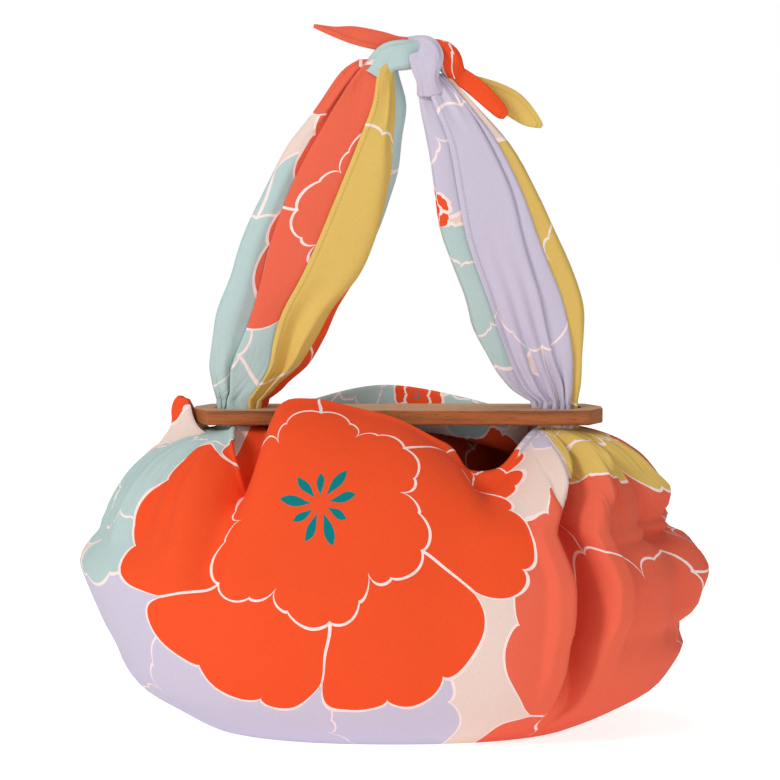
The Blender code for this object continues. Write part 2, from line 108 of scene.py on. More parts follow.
# The whole cloth: its cut size and thickness in metres, and the widest step that one
# face of it takes on the flat.
cloth = {"side": 1.04, "thickness": 0.0005, "widestStep": 0.1, "narrowStep": 0.003}

# All parts of the cloth are gathered here as grids and become one mesh at the end.
clothGrids = []


# place: flat place on the cloth in metres, for the print; hem: distance from the
# cloth's edge and along it; gather: 0 smooth to 1 tightly gathered.
def addGrid(points, place, hem=None, gather=None, closed=False, fan=False):
    rows, columns = points.shape[:2]
    if hem is None:
        hem = np.ones((rows, columns, 2))
    if gather is None:
        gather = np.zeros((rows, columns))
    clothGrids.append({"points": points, "place": place, "hem": hem, "gather": gather,
                       "closed": closed, "fan": fan})


bag = {
    "columns": 308,
    "baseRings": (0.12, 0.5),
    "wallSteps": 3,
    "crownSteps": 20,
    "roundness": 2.25,
    "wallMiddle": 130,
    "foldReach": 14,
    "rollRadius": 2.2,
    "rollSteps": 4,
    "tuckSteps": 24,
    "tuckInset": 7.0,
    "tuckRipple": 9.0,
    "tuckRipples": 90,
    # oval rings of the wall: height, left, right, front, back
    "wall": (
        (0, 45, 45, 28, 28),
        (0, 90, 88, 55, 55),
        (0, 126, 124, 77, 77),
        (3, 138, 136, 86, 86),
        (13, 156, 160, 98, 98),
        (28, 182, 188, 110, 111),
        (44, 196, 201, 119, 120),
        (60, 203, 209, 125, 126),
        (75, 211, 213, 128, 130),
        (90, 217, 220, 130, 131),
        (106, 223, 223, 131.5, 131.5),
        (120, 226.5, 223, 131.5, 131.5),
        (134, 220, 215, 129, 131),
        (145, 213, 207, 127, 129),
        (153, 208, 200, 125, 127),
    ),
    # edge of the mouth: degrees round the bag, x, y, z
    "rim": (
        (0, 131, 0, 215.6),
        (22, 128, 9, 215.6),
        (42, 116, 13, 215.6),
        (56, 98, 24, 216),
        (70, 62, 38, 228),
        (90, -5, 45, 239),
        (110, -60, 39, 229),
        (126, -93, 26, 216),
        (142, -110, 13, 215.6),
        (162, -122, 8, 215.6),
        (180, -124, 0, 215.6),
        (200, -121, -9, 215.6),
        (215, -117, -16, 215.6),
        (224, -117, -40, 213),
        (231, -112, -64, 196),
        (237, -103, -74, 172),
        (242, -97, -62, 188),
        (247, -83, -46, 231),
        (255, -60, -41, 237),
        (264, -30, -40, 231),
        (274, 6, -41, 221),
        (283, 40, -45, 199),
        (289, 57, -54, 176),
        (296, 76, -46, 183),
        (302, 94, -28, 206),
        (309, 107, -13, 215.6),
        (330, 122, -11, 215.6),
        (346, 129, -6, 215.6),
    ),
    # folds up the wall: degrees at the foot, degrees from the middle up, spread,
    # depth (a ridge is negative), lowest and highest height
    "folds": (
        (338, 335, 5.0, 10, 60, 225),
        (350, 348, 4.0, -5, 90, 222),
        (296, 295, 3.2, 5, 150, 215),
        (241, 237, 3.6, 9, 105, 190),
        (229, 228, 3.6, -5, 120, 226),
        (212, 214, 3.6, 6, 120, 232),
        (202, 204, 3.4, -5, 130, 230),
        (188, 190, 3.6, 5, 110, 228),
        (170, 172, 3.6, 6, 110, 228),
        (156, 158, 3.4, -5, 90, 228),
        (144, 147, 3.6, 11, 30, 232),
        (128, 130, 4.2, -6, 60, 228),
        (58, 52, 3.6, 14, 20, 236),
        (70, 64, 4.2, -6, 60, 230),
        (36, 38, 3.6, -5, 80, 228),
        (24, 26, 3.6, 7, 60, 226),
        (10, 12, 3.4, -4, 100, 226),
        (282, 280, 8.0, 3, 40, 190),
        (303, 302.5, 1.0, 6, 168, 224),
        (305, 305, 0.9, -3, 176, 224),
        (307, 307.2, 1.0, 6, 160, 222),
    ),
    # deep folds with steep sides, and the ridges beside them: degrees at the foot,
    # from the middle up and at the rim, half width, depth, lowest and highest height
    "valleys": (
        (309, 304.5, 315, 3.5, 38, 4, 240),
        (301, 298.5, 306, 3.0, -6, 20, 232),
        (318, 311.5, 322, 3.4, -10, 40, 240),
        (150, 150, 150, 3.0, 22, 30, 236),
        (52, 48, 48, 3.0, 22, 30, 236),
    ),
    "slantFrom": 148,
    "slantTo": 208,
    # creases round the sides: degrees, spread, height, half height, depth
    "creases": (
        (352, 27, 141, 5.0, 21),
        (348, 18, 153, 8, 11),
        (346, 9, 176, 7, -5),
        (352, 17, 76, 7, 10),
        (352, 15, 66, 4, 5),
        (8, 15, 112, 10, -5),
        (188, 20, 140, 7, 4),
    ),
    # corners tucked inside: first and last degree, how far they reach down
    "tucked": ((244, 301, 330), (44, 122, 330)),
    "gathered": ((132, 232), (302, 420)),
    "pleatCount": 44,
    "pleatDepth": 4.2,
    # rim beside the left neck: the cloth goes on up and in to the neck
    "gusset": {"first": 221, "last": 243, "x": (-119, -88), "y": -15, "z": 217, "sag": 14},
    # rim right of the middle: a broad soft bowl, not an edge
    "pocket": {"turn": 289, "spread": 7, "radius": 9, "lift": 12, "hang": 22},
    # inside the back the cloth hangs straight down from the rim before it meets the wall
    "apron": {"first": 40, "last": 140, "from": 24, "over": 34, "lean": 3},
    "sway": 3.0,
}


def rimPoints(turns):
    rows = np.array(bag["rim"], float)
    starts = rows[:, 0]
    places = rows[:, 1:]
    count = len(rows)
    index = np.searchsorted(starts, turns % 360, side="right") - 1
    following = (index + 1) % count
    span = (starts[following] - starts[index]) % 360
    t = ((turns - starts[index]) % 360 / span)[:, None]
    return catmull(places[index - 1], places[index], places[following],
                   places[(index + 2) % count], t) * mm


def ovalPoints(ring, turns):
    height, left, right, front, back = ring
    cosine = np.cos(np.radians(turns))
    sine = np.sin(np.radians(turns))
    power = 2 / bag["roundness"]
    x = np.sign(cosine) * np.abs(cosine) ** power * np.where(cosine > 0, right, left)
    y = np.sign(sine) * np.abs(sine) ** power * np.where(sine > 0, back, front)
    return np.stack([x, y, np.full_like(x, max(0, height))], axis=1) * mm


def drawnAlong(turns, height):
    shift = np.zeros_like(turns)
    weight = np.zeros_like(turns)
    for row in bag["folds"] + bag["valleys"]:
        foot, middle = row[:2]
        near = np.exp(-(turnBetween(turns, middle) / bag["foldReach"]) ** 2)
        shift += (foot - middle) * (1 - smooth(height / bag["wallMiddle"])) * near
        weight += near
    return turns + shift / np.maximum(1, weight)


def inGather(turns):
    amount = np.zeros_like(turns)
    for first, last in bag["gathered"]:
        amount = np.maximum(amount, within(turns, first, last, 12))
    return amount


def foldDepth(turns, heights):
    total = np.zeros_like(turns)
    for foot, middle, spread, depth, low, high in bag["folds"]:
        along = (heights - low) / (high - low)
        fade = smooth(np.minimum(along, 1 - along) * 4)
        total += depth * fade * np.exp(-(turnBetween(turns, middle) / spread) ** 2)
    slant = smooth((heights - bag["slantFrom"]) / (bag["slantTo"] - bag["slantFrom"]))
    for foot, middle, top, half, depth, low, high in bag["valleys"]:
        along = (heights - low) / (high - low)
        fade = smooth(np.minimum(along * 3, (1 - along) * 5))
        off = np.abs(turnBetween(turns, middle + (top - middle) * slant)) / half
        total += depth * fade * (1 - smooth((off - 0.45) / 0.7))
    for turn, spread, height, rise, depth in bag["creases"]:
        off = turnBetween(turns, turn) / spread
        up = (heights - height) / rise
        total += depth * np.exp(-off * off - up * up)
    wander = 6 * np.sin(np.radians(turns) * 3 + 1.3) + 3 * np.sin(np.radians(turns) * 7)
    pleats = np.cos(np.radians(turns) * bag["pleatCount"] + wander)
    pleats = pleats * (0.55 + 0.45 * np.sin(np.radians(turns) * 11 + 2))
    grow = smooth((heights - 135) / 65) * (1 - 0.6 * smooth((heights - 195) / 20))
    total += bag["pleatDepth"] * inGather(turns) * grow * pleats
    return total


bagShare = np.array([1 / 2.9, 1, 0])  # turns a point of the oval bag to its way outward


def folded(points, turns):
    outward = points * bagShare
    return points - unit(outward) * (foldDepth(turns, points[:, 2] / mm) * mm)[:, None]


def bagColumns():
    fine = np.linspace(0, 360, 3601)[:-1]
    weight = np.full_like(fine, 1.0)
    for fold in bag["folds"]:
        weight += 1.2 * np.exp(-(turnBetween(fine, fold[1]) / 5) ** 2)
    for valley in bag["valleys"]:
        weight += 2.2 * np.exp(-(turnBetween(fine, (valley[1] + valley[2]) / 2) / 6) ** 2)
    weight += 0.8 * np.exp(-(turnBetween(fine, 270) / 60) ** 2)
    total = np.concatenate([[0], np.cumsum(weight)])
    wanted = np.arange(bag["columns"]) / bag["columns"] * total[-1]
    return np.interp(wanted, total, np.linspace(0, 360, 3601))


def bagBody():
    turns = bagColumns()
    rings = smoothRows(bag["wall"], bag["wallSteps"])
    first = ovalPoints(rings[0], turns)
    rows = [first * share * np.array([1, 1, 0]) for share in bag["baseRings"]]
    for ring in rings:
        points = ovalPoints(ring, drawnAlong(turns, ring[0]))
        rows.append(folded(points, turns) if ring[0] > 0.5 else points)
    wall = ovalPoints(bag["wall"][-1], turns)
    rim = rimPoints(turns)
    shoulder = wall + (rim - wall) * 0.2
    shoulder[:, 2] = wall[:, 2] + (rim[:, 2] - wall[:, 2]) * 0.84
    for step in range(1, bag["crownSteps"] + 1):
        t = step / bag["crownSteps"]
        point = wall * (1 - t) ** 2 + shoulder * 2 * t * (1 - t) + rim * t * t
        ease = smooth((t - 0.65) / 0.35)
        rows.append(folded(point, turns) * (1 - ease) + point * ease)
    grid = np.array(rows)
    sway = softNoise(grid, 9, 3.1) + 0.5 * softNoise(grid, 21, 8.4)
    rise = smooth(grid[..., 2] / 0.05) * (1 - smooth((grid[..., 2] - 0.185) / 0.025))
    outward = unit(grid * bagShare)
    grid = grid + outward * (sway * rise * bag["sway"] * mm)[..., None]
    normals = gridNormals(grid)
    grid, tuckedRows = addTuckedCorners(grid, normals, turns)
    lengths = pathLengths(grid, 0)
    edge = len(bag["baseRings"]) + 2 * bag["wallSteps"]
    widest = int(np.argmax(grid[:-tuckedRows, :, 0].max(axis=1)))
    around = np.linalg.norm(np.roll(grid[widest], -1, axis=0) - grid[widest], axis=1)
    arc = np.concatenate([[0], np.cumsum(around)[:-1]])
    bag["girth"] = float(around.sum())
    front = np.interp(270, turns, arc)
    place = np.zeros(grid.shape[:2] + (2,))
    place[..., 0] = arc - front
    place[..., 1] = lengths - lengths[edge]
    hem = np.ones_like(place)
    tuckEnd = lengths[-1] - lengths
    hem[-bag["tuckSteps"]:, :, 0] = tuckEnd[-bag["tuckSteps"]:]
    hem[..., 1] = place[..., 0]
    gather = inGather(turns)[None, :] * smooth((grid[..., 2] / mm - 130) / 60)
    addGrid(grid, place, hem, gather, closed=True, fan=True)


def gridNormals(grid):
    along = np.roll(grid, -1, axis=1) - np.roll(grid, 1, axis=1)
    up = np.gradient(grid, axis=0)
    return unit(np.cross(along, up))


# The cloth rolls over the mouth's edge; the front and back corners go on down
# inside, close to the wall.
def addTuckedCorners(grid, normals, turns):
    rim = grid[-1]
    inward = unit(-rim * np.array([0.25, 1, 0]))
    neckSide = inGather(turns) > 0.5
    inward[neckSide] = unit(np.array([[1.0, 0, 0]]) * -np.sign(rim[neckSide][:, :1]))
    pocket = bag["pocket"]
    broad = np.exp(-(turnBetween(turns, pocket["turn"]) / pocket["spread"]) ** 2)
    radius = ((bag["rollRadius"] + (pocket["radius"] - bag["rollRadius"]) * broad) * mm)[:, None]
    rows = []
    for step in range(1, bag["rollSteps"] + 1):
        angle = math.pi * step / bag["rollSteps"]
        lift = (pocket["lift"] * mm * broad * (1 - math.cos(angle)) / 2)[:, None]
        height = math.sin(angle) * radius * (1 - 0.6 * broad[:, None]) + lift
        rows.append(rim + inward * radius * (1 - math.cos(angle)) + np.array([0, 0, 1]) * height)
    reach = np.full(len(turns), 12.0)
    for first, last, drop in bag["tucked"]:
        share = np.abs(turnBetween(turns, (first + last) / 2)) / ((last - first) / 2)
        inside = share < 1
        reach[inside] = 12 + (drop - 12) * (1 - 0.8 * share[inside]) * smooth((1 - share[inside]) * 5)
    gusset = bag["gusset"]
    across = (turns - gusset["first"]) / (gusset["last"] - gusset["first"])
    toNeck = smooth(np.minimum(across, 1 - across) * 7 + 0.3) * (across > -0.04) * (across < 1.04)
    neck = np.stack([gusset["x"][0] + (gusset["x"][1] - gusset["x"][0]) * across,
                     np.full_like(across, gusset["y"]), np.full_like(across, gusset["z"])], axis=1) * mm
    apron = bag["apron"]
    atBack = within(turns, apron["first"], apron["last"], 15)
    slack = np.maximum(atBack, smooth(broad * 3))
    lengths = pathLengths(grid, 0)
    for step in range(1, bag["tuckSteps"] + 1):
        t = (step / bag["tuckSteps"]) ** 1.3
        row = np.zeros_like(rim)
        for column in range(len(turns)):
            down = reach[column] * t
            place = lengths[-1, column] - down * mm
            ripple = bag["tuckRipple"] * (1 + math.cos(math.radians(turns[column]) * bag["tuckRipples"]))
            inset = (bag["tuckInset"] * smooth(down / 60) + ripple * smooth((down - 50) / 60)) * mm
            for axis in range(3):
                row[column, axis] = (np.interp(place, lengths[:, column], grid[:, column, axis])
                                     - np.interp(place, lengths[:, column], normals[:, column, axis]) * inset)
        row += inward * 2 * radius * (1 - smooth(t * reach / 60))[:, None]
        row[:, 2] += pocket["lift"] * mm * broad * (1 - smooth(t * reach / 40))
        hang = rows[bag["rollSteps"] - 1] - np.array([0, 0, 1]) * (reach * t * mm)[:, None]
        hang[:, 1] -= apron["lean"] * mm * atBack * np.sin(reach * t / 12)
        start = apron["from"] + pocket["hang"] * broad
        loose = (slack * (1 - smooth((reach * t - start) / apron["over"])))[:, None]
        row = row * (1 - loose) + hang * loose
        rise = rim * (1 - t) + neck * t
        rise[:, 2] -= gusset["sag"] * mm * math.sin(math.pi * t)
        rows.append(row * (1 - toNeck[:, None]) + rise * toNeck[:, None])
    return np.concatenate([grid, np.array(rows)]), len(rows)


bagBody()
print("bag body shaped, girth %.3f m" % bag["girth"])


straps = {
    "levels": 4,
    "across": 3,
    "pitch": 2.2,
    "neckX": {"left": -111.5, "right": 117.5},
    "neckRadius": 15.4,
    "neckLevels": (203, 207, 211, 214.5, 218, 221, 225, 229, 232),
    "ripple": 1.5,
    "hiddenPleats": 6,
    # where the side strip and the last panel lie on the flat cloth, in metres
    "stripShift": 0.40,
    "endShift": 0.30,
    # left strap: z, left fold, pleated panel, hemmed panel, its right fold,
    # layer behind, half depth
    "left": (
        (235, -126, -117, -105, -95, -91, 12),
        (241, -128, -115, -101, -89, -83, 13),
        (248, -130, -115, -96, -83, -76, 13),
        (260, -132, -114, -90, -70, -62, 14),
        (279, -130, -107, -86, -59, -51, 15),
        (300, -126, -99, -79, -46, -41, 15),
        (324, -117, -93, -66, -26, -27, 15),
        (350, -109, -86, -54, -14, -14, 15),
        (391, -90, -70, -37, -5, 0, 14),
        (418, -75, -56, -26, -3, 5, 13),
        (445, -54, -40, -16, -1, 8, 12),
        (469, -37, -24, -12, -1, 3, 11),
        (478, -24, -14, -6, 3, 5, 11),
    ),
    # right strap: z, left fold, hemmed panel, its right edge, second panel,
    # right fold, half depth
    "right": (
        (234, 98, 105, 120, 127, 132, 12),
        (241, 87, 97, 119, 128, 133, 12.5),
        (248, 80, 92, 118, 128, 134, 13),
        (263, 69, 84, 113, 128, 135, 14),
        (285, 57, 75, 108, 125, 136, 15),
        (310, 51, 66, 102, 119, 134, 15),
        (350, 35, 52, 90, 103, 118, 15),
        (386, 29, 45, 81, 90, 101, 14),
        (418, 24, 39, 66, 74, 83, 13),
        (444, 19, 29, 50, 55, 60, 12),
        (468, 15, 19, 30, 34, 38, 9),
    ),
}


# The rest of the corner's width lies pleated inside the strap.
def hiddenPleats(low, high, front, back):
    line = []
    for index in range(straps["hiddenPleats"]):
        y = front + (back - front) * (index + 0.5) / straps["hiddenPleats"]
        ends = (high, low) if index % 2 == 0 else (low, high)
        line += [(ends[0], y), ((low + high) / 2, y), (ends[1], y)]
    return line


def leftSection(row):
    z, left, pleat, hem, right, behind, depth = row
    pitch = straps["pitch"]
    front = -depth
    width = right - left
    tuck = width * 0.13
    sideFold = pleat - left
    bulge = max(0, sideFold - 9) * 0.3
    under = front + pitch
    middle = front + pitch * 2
    inner = front + pitch * 3
    side = max(right, behind)
    trough = 8 * math.exp(-((z - 264) / 36) ** 2)
    line = [
        (hem, front),
        (hem + (right - hem) * 0.15, front - 0.6),
        (hem + (right - hem) * 0.45, front - 0.6 + trough),
        (hem + (right - hem) * 0.78, front - 0.8 - trough * 0.15),
        (right - 2.5, front + 0.6),
        (right, front + 3.5),
        (side - 1, front * 0.3),
        (side, depth * 0.35),
        (side - 3, depth * 0.8),
        (side - width * 0.25, depth),
        (left + width * 0.45, depth * 0.8),
        (left + width * 0.2, depth),
        (left + 3, depth * 0.7),
        (left, depth * 0.2),
        (left + 1, inner + 1),
        (left + sideFold * 0.2, inner - bulge * 0.6),
        (left + sideFold * 0.55, inner - bulge),
        (pleat - 3, inner - bulge * 0.2),
        (pleat + tuck, inner),
        (pleat + tuck + 1, inner - pitch / 2),
        (pleat + tuck, middle),
        (pleat, middle),
        (pleat - 1, middle - pitch / 2),
        (pleat, under),
        ((pleat + hem) / 2, under - 0.6),
        (hem + tuck * 0.4, under + trough * 0.3),
        (hem + tuck * 0.7, under + trough),
    ]
    hidden = hiddenPleats(left + 6, side - 6, inner + 3 + trough, depth * 0.8 - 2)
    return line, hidden, 5.5, 12


def rightSection(row):
    z, left, front, step, second, right, depth = row
    pitch = straps["pitch"]
    face = -depth
    width = right - left
    under = face + pitch
    inner = face + pitch * 2
    gather = 5.0 * (1 - smooth((z - 240) / 120))
    panel = []
    for index in range(7):
        share = index / 6
        lift = gather * (1 if index % 2 else -0.25)
        panel.append((front + (step - front) * share, face + max(0, lift)))
    line = panel + [
        (step + 1.6, face + 2),
        (step - width * 0.03, under + 0.4),
        (step + (second - step) * 0.3, under + 0.9),
        ((step + second) / 2, under + 0.2),
        (second - 0.6, under + 0.6),
        (second + 0.4, inner),
        ((second + right) / 2 + 0.5, inner + 0.6),
        (right - 1, inner + 2.4),
        (right, depth * 0.3),
        (right - 3, depth * 0.8),
        (right - width * 0.22, depth),
        (left + width * 0.5, depth * 0.8),
        (left + width * 0.22, depth),
        (left + 2, depth * 0.6),
        (left, 0),
        (left + 1, inner + 2),
        (left + 4, inner + 0.4),
        (front - 1, inner - 0.4),
        (front + width * 0.14, inner),
        (front + width * 0.2, inner),
    ]
    hidden = hiddenPleats(left + 6, right - 6, inner + 4, depth * 0.8 - 3)
    return line, hidden, 12, 20


# The flat place of a strap's points runs from its hem over the front, then over
# the strip beside it, and last from its other end.
def strap(side, section, rows, placeShift):
    neckX = straps["neckX"][side]
    levels = smoothRows(rows, straps["levels"])
    lines = []
    heights = []
    line, hidden, stripFrom, stripTo = section(tuple(levels[0]))
    shown = (len(line) - 1) * straps["across"]
    outline = smoothRows(line + hidden, straps["across"])
    rel = outline - np.array([neckX, 0])
    angle = np.arctan2(rel[:, 1], rel[:, 0])
    pleats = 1 + 0.05 * np.cos(13 * angle + 0.6)
    for z in straps["neckLevels"]:
        reach = np.linalg.norm(rel, axis=1)
        wanted = straps["neckRadius"] * pleats * (0.86 + 0.1 * reach / reach.max())
        wanted[shown:] = reach[shown:] * 0.7
        blend = smooth((z - 219) / 16)
        if z < 217:
            wanted = wanted * (1 + 0.25 * smooth((217 - z) / 12))
        reach = wanted * (1 - blend) + reach * blend
        lines.append(np.stack([neckX + np.cos(angle) * reach, np.sin(angle) * reach], axis=1))
        heights.append(z)
    for row in levels:
        line, hidden = section(tuple(row))[:2]
        lines.append(smoothRows(line + hidden, straps["across"]))
        heights.append(row[0])
    lines = np.array(lines)
    count = lines.shape[1]
    grid = np.zeros((len(lines), count, 3))
    grid[..., :2] = lines
    grid[..., 2] = np.array(heights)[:, None]
    share = np.linspace(0, 1, count)[None, :]
    z = grid[..., 2]
    ends = smooth((300 - z) / 60) + 0.8 * smooth((z - 420) / 40)
    wave = np.sin(share * 92 + 2.2 * np.sin(z / 31)) * ends * straps["ripple"]
    wave += 1.1 * softNoise(grid * mm, 34, 5.7)
    tangent = unit(np.gradient(lines, axis=1))
    grid[..., 0] += -tangent[..., 1] * wave
    grid[..., 1] += tangent[..., 0] * wave
    grid *= mm
    lengths = pathLengths(grid, 1)
    first = int(stripFrom * straps["across"])
    second = int(stripTo * straps["across"])
    across = lengths.copy()
    across[:, first:second] += straps["stripShift"]
    across[:, second:] = straps["endShift"] - (lengths[:, shown:shown + 1] - lengths[:, second:])
    place = np.stack([across, grid[..., 2] + placeShift], axis=-1)
    hem = np.stack([lengths, grid[..., 2]], axis=-1)
    height = grid[..., 2]
    gather = smooth((0.30 - height) / 0.07) + 0.6 * smooth((height - 0.42) / 0.05)
    addGrid(grid, place, hem, np.clip(gather, 0, 1))


strap("left", leftSection, straps["left"], 2.0)
strap("right", rightSection, straps["right"], 3.0)
print("straps folded")


knot = {
    "steps": 5,
    "sides": 30,
    # path, width and thickness of each band: x, y, z, width, thickness
    "leftBand": (
        (-14, -3, 466, 20, 17),
        (-10, -3, 472, 19, 16),
        (-3, -6, 479, 20, 14),
        (8, -9, 481, 20, 12),
        (20, -4, 482, 18, 12),
        (31, -4, 482, 20, 13),
        (38, -5, 479, 19, 13),
        (42, -3, 472, 15, 11),
        (46, 0, 466, 10, 9),
    ),
    "rightBand": (
        (26, -6, 456, 18, 13),
        (24, -12, 464, 15, 10),
        (23, -15, 471, 19, 8),
        (23, -15, 478, 23, 8),
        (22, -11, 483, 21, 9),
        (18, -3, 485, 18, 10),
        (10, 4, 486, 15, 10),
        (3, 2, 488, 12, 9),
    ),
    "leftTail": (
        (16, 2, 489, 8, 5),
        (4, 1, 489, 10, 6),
        (-10, 0, 491, 13.5, 6.5),
        (-29, -2, 495, 12.5, 6.5),
        (-43, -3, 497.5, 7, 6),
        (-57, -4, 501.5, 2.6, 5),
    ),
    "rightTailFront": (
        (37, 0, 473, 9, 6),
        (46, -2, 467, 12, 7),
        (57, -4, 459, 13, 7),
        (69, -5, 448, 12, 7),
        (76.5, -5, 440.5, 9.5, 7),
        (79.5, -5, 437.5, 4.5, 5.5),
    ),
    "rightTailBack": (
        (40, 3, 470, 7, 6),
        (55, 5, 463, 9, 6),
        (70, 6, 455, 16, 7),
        (84, 5, 447, 18, 7),
        (95, 3, 438, 14, 7),
        (102, 2, 433, 7.5, 6.5),
        (105.5, 2, 430.5, 2.5, 5),
    ),
}


def pathFrame(stations):
    centres = stations[:, :3] * mm
    tangent = unit(np.gradient(centres, axis=0))
    across = unit(np.cross(tangent, np.array([0, 1.0, 0])))
    through = unit(np.cross(tangent, across))
    return centres, across, through


def band(name, placeShift, twist):
    stations = smoothRows(knot[name], knot["steps"])
    centres, across, through = pathFrame(stations)
    angles = np.linspace(0, 2 * math.pi, knot["sides"], endpoint=False)
    grid = np.zeros((len(stations), len(angles), 3))
    for index, station in enumerate(stations):
        ridge = 1.04 + 0.07 * np.cos(3 * angles + twist * index)
        ridge -= 0.20 * (1 - np.abs(np.sin(2.5 * angles + 0.8 + twist * index * 0.6))) ** 3
        cosine = np.sign(np.cos(angles)) * np.abs(np.cos(angles)) ** 0.65
        sine = np.sign(np.sin(angles)) * np.abs(np.sin(angles)) ** 0.65
        grid[index] = (centres[index]
                       + across[index] * (cosine * ridge * station[3] * mm / 2)[:, None]
                       + through[index] * (sine * ridge * station[4] * mm / 2)[:, None])
    lengths = pathLengths(grid, 0)
    place = np.zeros(grid.shape[:2] + (2,))
    place[..., 0] = np.abs(angles - math.pi) * 0.012
    place[..., 1] = lengths + placeShift
    addGrid(grid, place, gather=np.full(grid.shape[:2], 0.7), closed=True)


def tail(name, placeShift):
    stations = smoothRows(knot[name], knot["steps"])
    centres, across, through = pathFrame(stations)
    across = -across
    grid = []
    for index, station in enumerate(stations):
        half = station[3] / 2
        deep = station[4] / 2 - 0.6
        line = smoothRows([(-half, -deep), (half * 0.2, -deep * 1.1), (half * 0.8, -deep * 0.8),
                           (half, 0), (half * 0.8, deep * 0.8), (half * 0.2, deep * 1.1),
                           (-half * 0.7, deep), (-half * 0.2, deep * 0.4)], 4)
        grid.append(centres[index] + across[index] * line[:, :1] * mm
                    + np.array([[0, 1, 0]]) * line[:, 1:] * mm)
    grid = np.array(grid)
    grid[..., 1] += softNoise(grid, 60, 2.2) * 0.0012
    lengths = pathLengths(grid, 1)
    along = pathLengths(grid, 0)
    place = np.stack([lengths, along + placeShift], axis=-1)
    hem = np.stack([np.minimum(lengths, along[-1:] - along), along], axis=-1)
    addGrid(grid, place, hem, np.full(grid.shape[:2], 0.3))


band("leftBand", 4.0, 0.10)
band("rightBand", 4.5, -0.07)
tail("leftTail", 5.0)
tail("rightTailFront", 5.5)
tail("rightTailBack", 6.0)
print("knot tied")


# An upright fold stands past the plate's left tip.
ear = {
    # z, its left fold, width, half depth
    "rows": (
        (190, -178, 48, 30),
        (200, -171, 44, 26),
        (208, -165, 36, 22),
        (214, -161, 28.5, 19),
        (220, -159.5, 20, 17),
        (227, -160, 17, 14),
        (233, -159, 14, 10),
        (237.5, -155, 8, 5),
    ),
}


def earFold():
    grid = []
    for z, left, width, half in smoothRows(ear["rows"], 6):
        share = np.linspace(1, -1, 37)
        loop = 1 - np.sqrt(np.maximum(0, 1 - share ** 2)) ** 1.4
        ripple = 0.7 * np.sin(share * 9 + z / 7)
        grid.append(np.stack([left + width * loop + ripple, half * share,
                              z - 3 * np.abs(share) ** 3], axis=1))
    grid = np.array(grid) * mm
    place = np.stack([grid[..., 1], grid[..., 2] + 6.5], axis=-1)
    addGrid(grid, place, gather=np.full(grid.shape[:2], 0.4))


earFold()


colours = {
    "ground": linear(236, 212, 201),
    "vermilion": linear(243, 84, 42),
    "coral": linear(236, 106, 80),
    "lilac": linear(206, 198, 217),
    "mint": linear(184, 206, 204),
    "yellow": linear(225, 189, 103),
    "outline": linear(252, 230, 226),
    "teal": linear(12, 126, 130),
    "seam": linear(120, 70, 40),
}

# Each layer: flower middle on the cloth in metres, size, turn and colour. Flowers
# of one layer keep clear of each other.
printLayers = {
    "under": (
        (-0.150, 0.010, 0.210, 20, "lilac"),
        (0.470, 0.040, 0.120, 10, "mint"),
        (-0.480, 0.060, 0.140, 70, "coral"),
        (0.385, 0.275, 0.118, 25, "coral"),
        (-0.050, 0.440, 0.120, 0, "vermilion"),
        (-0.745, 0.445, 0.125, 0, "vermilion"),
        (-0.540, 0.450, 0.112, 0, "vermilion"),
        (0.210, 2.300, 0.130, 10, "mint"),
        (0.030, 2.340, 0.190, 40, "yellow"),
        (0.500, 2.230, 0.110, 10, "vermilion"),
        (0.510, 2.440, 0.110, 10, "mint"),
        (0.030, 3.360, 0.170, 15, "lilac"),
        (0.260, 3.450, 0.090, 15, "lilac"),
        (0.250, 3.200, 0.080, 15, "lilac"),
        (0.500, 3.290, 0.150, 15, "yellow"),
        (0.500, 3.510, 0.080, 15, "mint"),
        (0.020, 4.050, 0.200, 0, "mint"),
        (0.020, 4.500, 0.200, 0, "lilac"),
        (0.020, 5.050, 0.200, 0, "coral"),
        (0.020, 5.550, 0.200, 0, "vermilion"),
        (0.020, 6.050, 0.200, 0, "yellow"),
        (0.000, 6.775, 0.062, 0, "vermilion"),
    ),
    "middle": (
        (-0.235, 0.245, 0.095, 0, "mint"),
        (0.265, 0.085, 0.205, 25, "coral"),
        (0.180, 0.345, 0.066, 15, "lilac"),
        (0.062, 0.285, 0.070, 40, "vermilion"),
        (-0.705, 0.283, 0.058, 15, "mint"),
        (-0.595, 0.288, 0.066, 5, "mint"),
        (-0.420, 0.310, 0.080, 5, "mint"),
        (0.325, 2.375, 0.115, 10, "coral"),
        (0.225, 2.505, 0.070, 10, "coral"),
        (0.270, 3.310, 0.055, 15, "mint"),
        (0.262, 3.372, 0.016, 40, "vermilion"),
        (0.020, 4.085, 0.038, 0, "vermilion"),
    ),
    "over": (
        (-0.055, 0.200, 0.165, 12, "vermilion"),
        (0.292, 0.325, 0.086, 30, "yellow"),
        (0.560, 0.140, 0.110, 30, "vermilion"),
        (-0.500, 0.150, 0.100, 30, "lilac"),
        (-0.655, 0.312, 0.024, 10, "vermilion"),
    ),
}
petalCounts = {"under": 6, "middle": 5, "over": 6}
farAway = 9.0  # place given to a face that has no flower near


